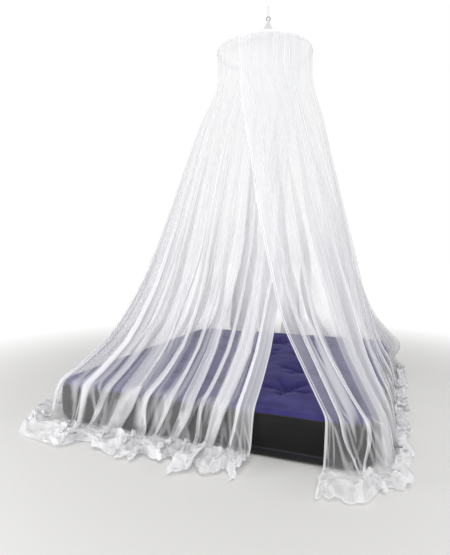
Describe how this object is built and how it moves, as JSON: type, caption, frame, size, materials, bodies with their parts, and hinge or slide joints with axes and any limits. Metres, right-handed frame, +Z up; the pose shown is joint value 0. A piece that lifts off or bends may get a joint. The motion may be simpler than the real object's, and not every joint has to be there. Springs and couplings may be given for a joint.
{
  "type": "mosquito net canopy with air mattress",
  "caption": "White mosquito net hung from a small hoop, open at the front in an inverted V and falling over a plain air mattress into ruffles on the floor.",
  "frame": {"origin": "on the floor, under the middle of the mattress", "axes": "+Z up; X and Y along the mattress sides; the net opens towards -Y"},
  "size_m": [2.0462, 2.4752, 2.6119],
  "materials": {
    "net": "fine sheer net",
    "hoop_tape": "matt tape",
    "steel": "dark satin",
    "cord": "matt",
    "flock": "velvet flock"
  },
  "bodies": {
    "root": {"net_skirt": "net", "net_cap": "net", "hoop": "hoop_tape", "hanging_ring": "steel", "hanging_loop": "cord", "air_mattress": "flock"}
  },
  "joints": []
}
